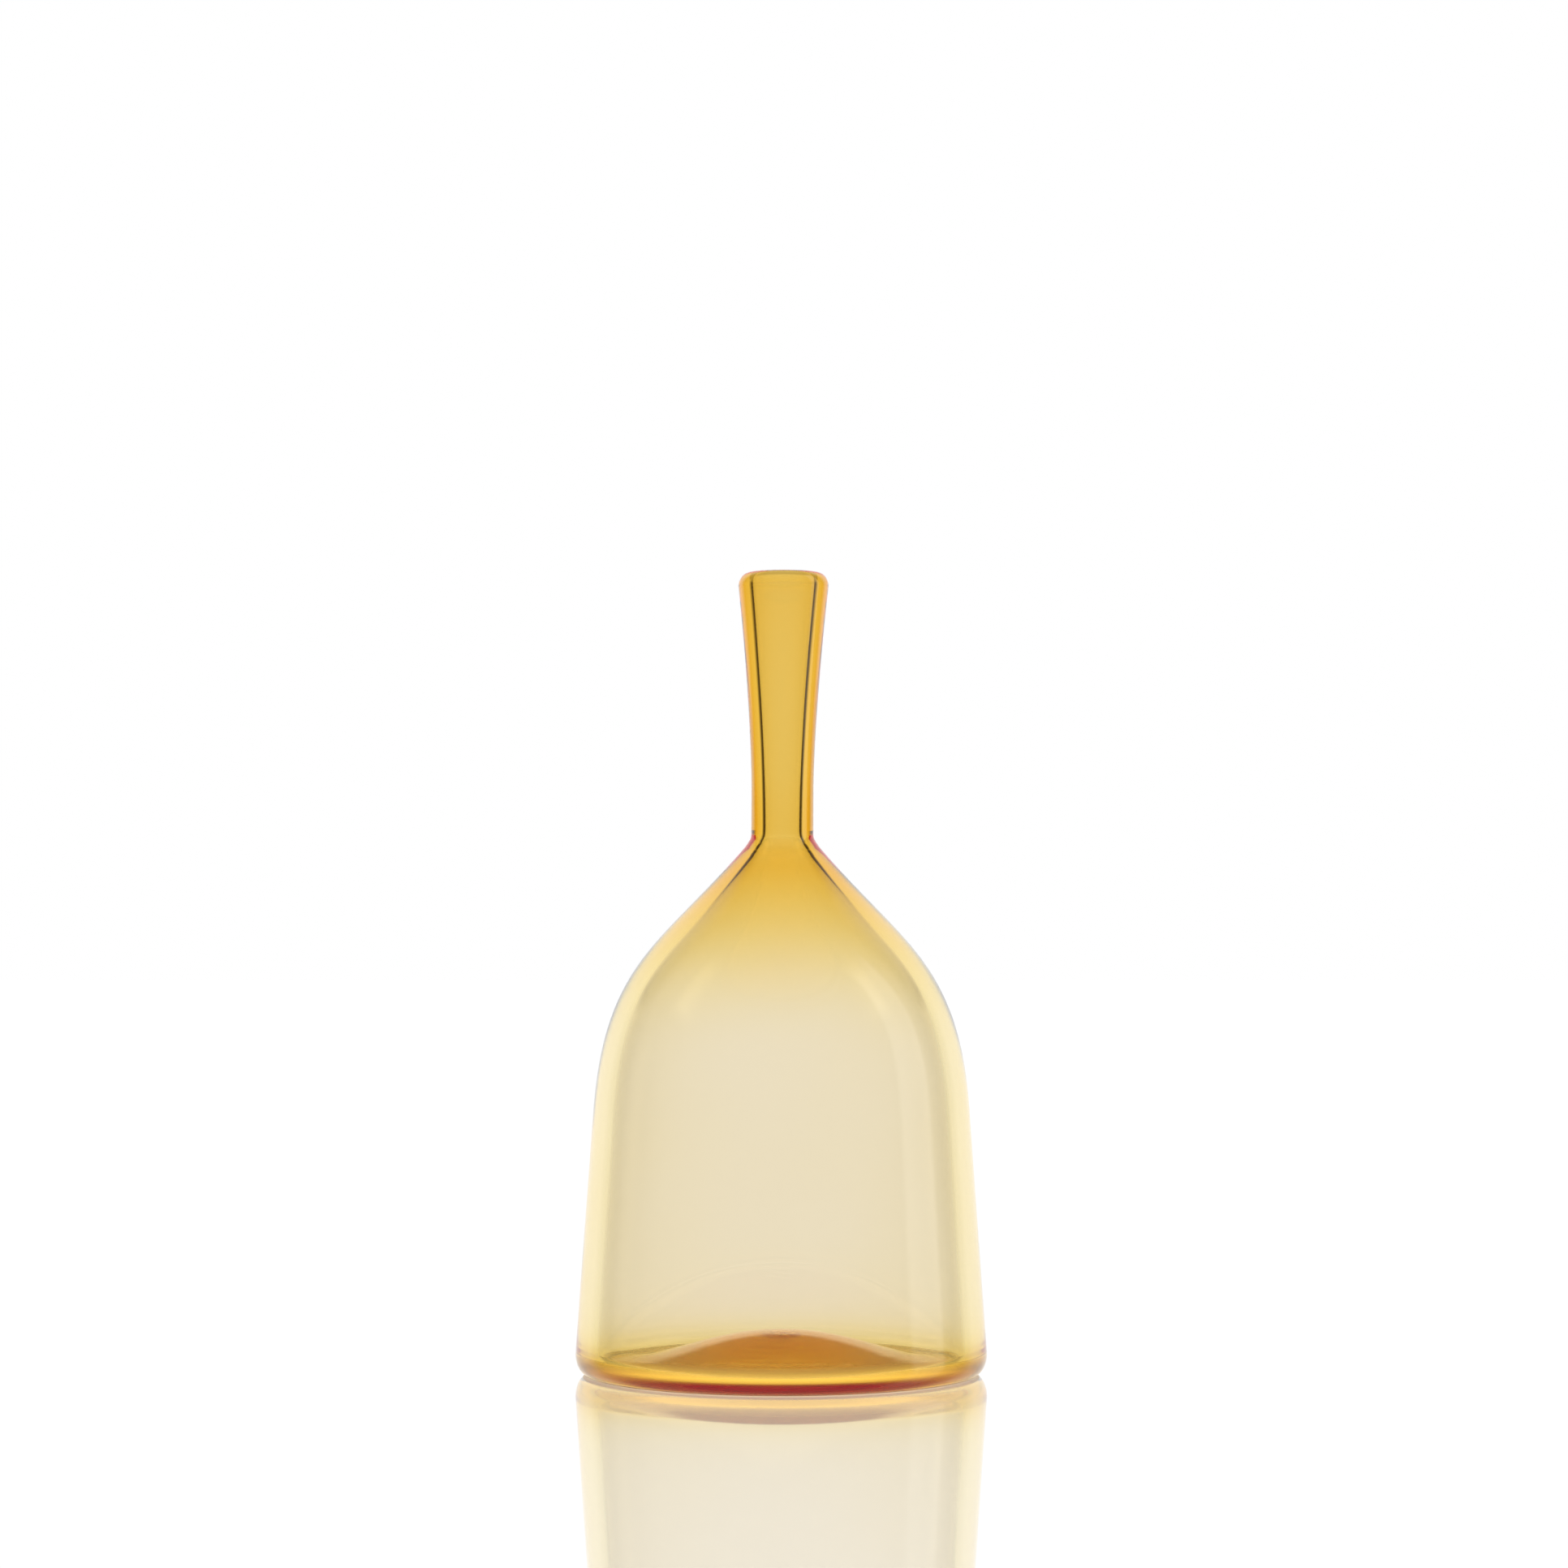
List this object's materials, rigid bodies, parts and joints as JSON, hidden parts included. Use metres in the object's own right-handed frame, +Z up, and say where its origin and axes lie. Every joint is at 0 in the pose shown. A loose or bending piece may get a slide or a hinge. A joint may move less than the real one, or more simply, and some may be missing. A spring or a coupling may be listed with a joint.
{
  "type": "bud vase",
  "caption": "Amber hand-blown glass bud vase: thick flared neck, sharp crease over a sloping shoulder, heavy-walled flared belly, kicked-up base on a flat foot ring.",
  "frame": {"origin": "on the table, on the vase's axis, in the plane of the foot ring", "axes": "+Z up along the axis of the blow, towards the mouth; +X and +Y are free, because the vase is round"},
  "size_m": [0.104, 0.104, 0.203],
  "materials": {
    "amber_glass": "clear, fire-polished",
    "torn_amber_glass": "clear, broken face"
  },
  "bodies": {
    "root": {"vessel": "amber_glass", "pontil_mark": "torn_amber_glass"}
  },
  "joints": []
}
